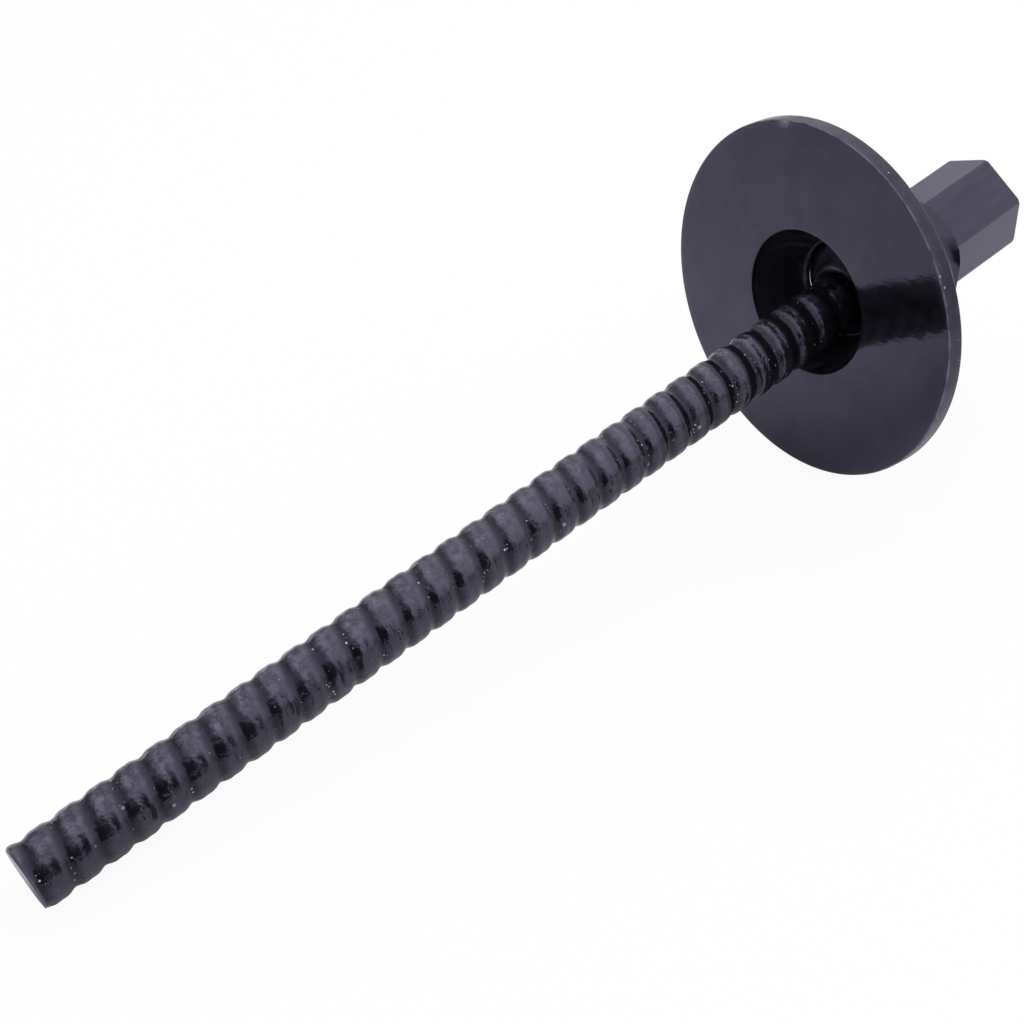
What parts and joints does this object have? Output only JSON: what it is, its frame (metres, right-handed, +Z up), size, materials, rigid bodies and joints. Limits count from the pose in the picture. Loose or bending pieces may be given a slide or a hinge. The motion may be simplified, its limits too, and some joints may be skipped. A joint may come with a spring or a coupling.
{
  "type": "fiberglass rock bolt",
  "caption": "Short rope-threaded fiberglass rod with a round domed bearing plate and a ball-faced hexagonal nut, lying on its tip and the plate's rim.",
  "frame": {"origin": "on the floor under the middle of the lying bolt's bounding box", "axes": "+Z up; +X from the rod's tip towards the nut, level; the rod rises towards +X, and Y is level across it"},
  "size_m": [0.4066, 0.1274, 0.1274],
  "materials": {
    "rod_composite": "dark resin-rich glass fibre composite, satin, with fine pale specks",
    "plate_composite": "smooth moulded black composite, satin",
    "nut_composite": "smooth moulded black composite, satin"
  },
  "bodies": {
    "rod": {"threaded_rod": "rod_composite"},
    "plate": {"bearing_plate": "plate_composite"},
    "nut": {"ball_nut": "nut_composite"}
  },
  "joints": [
    {"name": "plate_travel", "type": "slide", "parent": "rod", "child": "plate", "axis": [-0.9898, 0, -0.1423], "range_m": [-0.03, 0.24]},
    {"name": "nut_turn", "type": "hinge", "parent": "plate", "child": "nut", "pos_m": [0.15164, 0, 0.06091], "axis": [0.9898, 0, 0.1423], "range_deg": [-1080, 8640]}
  ],
  "couplings": [
    {"joint": "plate_travel", "follows": "nut_turn", "m_per_rad": 0.0015915}
  ]
}
